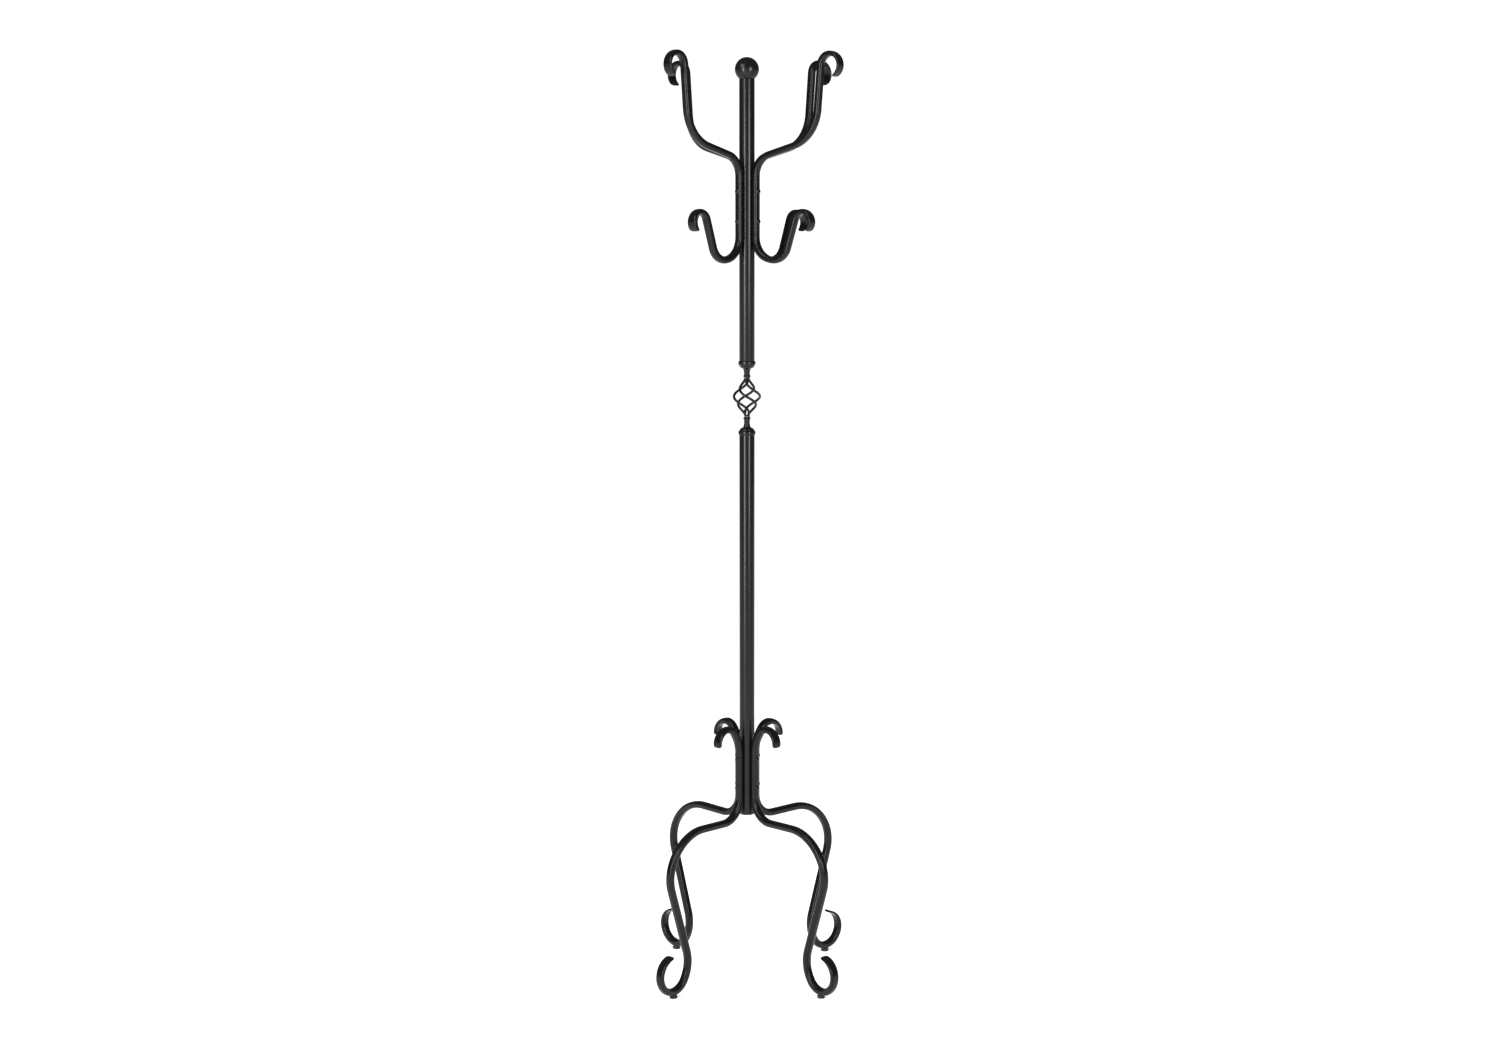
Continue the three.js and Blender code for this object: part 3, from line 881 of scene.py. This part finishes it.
def line_length(line):
    """Length of the bending line in metres."""
    points = [p.co.xyz for p in line.data.splines[0].points]
    return sum((b - a).length for a, b in zip(points, points[1:]))


def bend_bar(name, bar, taper, distance, run, up, down):
    """Forges the blank to the line's length, bends it and stands it upright."""
    line = bending_line(name + "_line", distance, run, up, down)
    total = line_length(line)
    piece = forge_blank(total, taper, bar)
    select_only(piece)
    bend = piece.modifiers.new("bend", "CURVE")
    bend.object = line
    bend.deform_axis = "POS_X"
    bpy.ops.object.modifier_apply(modifier="bend")
    piece.rotation_euler = (math.pi / 2, 0, 0)
    bake_place(piece)
    bpy.data.objects.remove(line)
    close_and_orient(piece)
    piece.name = name
    print(name, "bar length mm", round(total / MM, 1))
    size_note(piece)
    return piece

# %% [markdown]
# ## The double hooks
#
# Each hook bar is clamped to the pole along a straight run. Above it the bar sweeps out
# and up and curls over outwards as a hat hook, and below it turns up into a coat hook.

# %% Hook bars
HOOK_BAR = {"width": 15.4 * MM, "thick": 13 * MM, "tip_width": 21.4 * MM,
            "tip_thick": 3.6 * MM, "corner": 6.5 * MM}
HOOK_TAPER = (74 * MM, 92 * MM)
HOOK_RUN = (1481.5, 1598.2)
HOOK_UP = [(42.1, -75.3), (0, 60.4), (75.8, 70.4), (0, 83), (22.2, -242)]
HOOK_DOWN = [(44.6, 86.4), (33.4, 75.4), (0, 58.9), (20.2, -217)]
BAR_GAP = 0.3 * MM
SCREW_HOLE = 2.8 * MM

hook_distance = TUBE_RADIUS + BAR_GAP + HOOK_BAR["thick"] / 2
hook_bar = bend_bar("hook_bar", HOOK_BAR, HOOK_TAPER, hook_distance, HOOK_RUN,
                    HOOK_UP, HOOK_DOWN)
for height in HOOK_SCREWS.values():
    drill(hook_bar, SCREW_HOLE, (10 * MM, 0, height), (1, 0, 0), 30 * MM)
copy_round(hook_bar, "hook_bar", forged_black, HOOK_OFF_SIDE)

# %% [markdown]
# ## The legs
#
# Each leg bar is screwed to the lower tube. Its top leans out and curls down as a
# small scroll. Its lower part runs out over a knee, down to the foot, and round
# inwards and up as a large scroll. The lowest point of the foot is drilled for its pad.

# %% Leg bars
LEG_BAR = {"width": 16 * MM, "thick": 14.4 * MM, "tip_width": 21 * MM,
           "tip_thick": 4.4 * MM, "corner": 6.5 * MM}
LEG_TAPER = (92 * MM, 62 * MM)
LEG_RUN = (366.7, 456)
LEG_UP = [(71, -40), (26.5, -152)]
LEG_DOWN = [(44.7, 90.9), (0, 61.7), (92.6, -63.7), (75, -44.9), (0, 135.7), (66.3, 53.3),
            (35.7, 228)]
PAD_PEG_HOLE = 2.7 * MM

leg_distance = TUBE_RADIUS + BAR_GAP + LEG_BAR["thick"] / 2
leg_bar = bend_bar("leg_bar", LEG_BAR, LEG_TAPER, leg_distance, LEG_RUN, LEG_UP,
                   LEG_DOWN)
for height in LEG_SCREWS.values():
    drill(leg_bar, SCREW_HOLE, (10 * MM, 0, height), (1, 0, 0), 30 * MM)
pad_low, pad_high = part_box("foot_pad_right")
pad_x = math.hypot(pad_low.x + pad_high.x, pad_low.y + pad_high.y) / 2
drill(leg_bar, PAD_PEG_HOLE, (pad_x, 0, 0), (0, 0, 1), pad_high.z + 0.5 * MM)
copy_round(leg_bar, "leg_bar", forged_black, LEG_OFF_SIDE)

# %% [markdown]
# ## Screws
#
# A button-head screw has a low dome with a hex socket. It is turned upright, the
# socket is cut with a six-sided cutter, and the screw is laid down to point at the pole.

# %% One screw
SCREW_RADIUS = 2.5 * MM
HEAD_RADIUS = 4.75 * MM
HEAD_HEIGHT = 2.75 * MM
SCREW_LENGTH = 20 * MM
SOCKET_ACROSS = 3 * MM
SOCKET_DEPTH = 1.6 * MM
SEAT_PLAY = 0.1 * MM


def screw_outline():
    """From the tip of the shank, under the head at height 0, over the dome."""
    points = [(0, -SCREW_LENGTH), (SCREW_RADIUS - 0.5 * MM, -SCREW_LENGTH)]
    points += [(SCREW_RADIUS, -SCREW_LENGTH + 0.5 * MM), (SCREW_RADIUS, 0)]
    points += [(HEAD_RADIUS - 0.15 * MM, 0), (HEAD_RADIUS, 0.15 * MM)]
    points += [(HEAD_RADIUS, 0.5 * MM)]
    dome = HEAD_HEIGHT - 0.5 * MM
    for i in range(1, 9):
        angle = math.radians(90 * i / 9)
        points.append((HEAD_RADIUS * math.cos(angle) ** 0.8,
                       0.5 * MM + dome * math.sin(angle)))
    points.append((0, HEAD_HEIGHT))
    return points


def make_screw():
    """A screw that stands on its tip, its head's underside at the origin."""
    screw = turned(screw_outline(), 36)
    start_piece()
    corner = SOCKET_ACROSS / math.sqrt(3)
    bpy.ops.mesh.primitive_cylinder_add(
        vertices=6, radius=corner, depth=2 * SOCKET_DEPTH, location=(0, 0, HEAD_HEIGHT))
    socket = bpy.context.object
    select_only(screw)
    cut = screw.modifiers.new("socket", "BOOLEAN")
    cut.operation = "DIFFERENCE"
    cut.solver = "EXACT"
    cut.object = socket
    bpy.ops.object.modifier_apply(modifier="socket")
    bpy.data.objects.remove(socket)
    screw.rotation_euler = (0, math.pi / 2, 0)
    bake_place(screw)
    return screw


def place_screws(stem, heights, seat, off_side):
    """Screws at each height, in all four sides, heads against the bar."""
    for level, height in heights.items():
        select_only(pattern_screw)
        bpy.ops.object.duplicate(linked=False)
        screw = bpy.context.object
        screw.location = (seat, 0, height)
        bake_place(screw)
        made = copy_round(screw, stem + "_" + level, screw_black,
                          off_side)
        size_note(made[0])


pattern_screw = make_screw()
hook_seat = hook_distance + HOOK_BAR["thick"] / 2 + SEAT_PLAY
leg_seat = leg_distance + LEG_BAR["thick"] / 2 + SEAT_PLAY
place_screws("hook_screw", HOOK_SCREWS, hook_seat, HOOK_OFF_SIDE)
place_screws("leg_screw", LEG_SCREWS, leg_seat, LEG_OFF_SIDE)
bpy.data.objects.remove(pattern_screw)

# %% [markdown]
# ## Foot pads and the end plug
#
# The pads are small rubber buttons with a rounded rim, and a peg that is pressed into the
# leg. The plug closes the open end of the pole between the legs.

# %% Pads and plug
PAD_RADIUS = (pad_high.x - pad_low.x) / 2
PAD_HEIGHT = 5.3 * MM
PEG_RADIUS = 2.4 * MM


def pad_outline():
    """From the floor up, with both rims rounded, to the top of the peg."""
    rim = 1.1 * MM
    points = [(0, 0.25 * MM), (PAD_RADIUS - 3 * MM, 0.25 * MM), (PAD_RADIUS - 2.6 * MM, 0)]
    points += arc_points((PAD_RADIUS - rim, rim), rim, -90, 0, 5)
    points += arc_points((PAD_RADIUS - rim, PAD_HEIGHT - rim), rim, 0, 90, 5)
    points += [(PEG_RADIUS, PAD_HEIGHT), (PEG_RADIUS, pad_high.z - 0.4 * MM)]
    points += [(PEG_RADIUS - 0.4 * MM, pad_high.z), (0, pad_high.z)]
    return points


pad = turned(pad_outline(), 40)
pad.location = (pad_x, 0, 0)
bake_place(pad)
foot_pads = copy_round(pad, "foot_pad", rubber_black, LEG_OFF_SIDE)
size_note(foot_pads[0])

plug_low, plug_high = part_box("tube_end_plug")
PLUG_LIP = 3 * MM
PLUG_BODY_RADIUS = 13.2 * MM
lip_top = plug_low.z + PLUG_LIP
lip_round = 2.2 * MM
plug_outline = [(0, plug_low.z), (TUBE_RADIUS - lip_round, plug_low.z)]
plug_outline += arc_points((TUBE_RADIUS - lip_round, plug_low.z + lip_round), lip_round,
                           -90, 0, 8)[1:]
plug_outline += [(TUBE_RADIUS, lip_top), (PLUG_BODY_RADIUS, lip_top)]
plug_outline += [(PLUG_BODY_RADIUS, plug_high.z - 0.5 * MM)]
plug_outline += [(PLUG_BODY_RADIUS - 0.5 * MM, plug_high.z), (0, plug_high.z)]
plug = turned(plug_outline, 96)
finish_piece(plug, "shown_tube_end_plug", "tube_end_plug", plug_plastic)
compare_boxes(plug, "tube_end_plug")

# %% [markdown]
# ## Hidden hardware
#
# Rivet nuts and threaded inserts sit inside the tubes. Their CAD shapes are right, so they
# stay, and they only get a zinc finish.

# %% Finish what stays
for name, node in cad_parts.items():
    if node.hide_render:
        continue
    node.data.materials.clear()
    node.data.materials.append(zinc)
print("CAD nodes kept", sorted(n for n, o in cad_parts.items() if not o.hide_render))
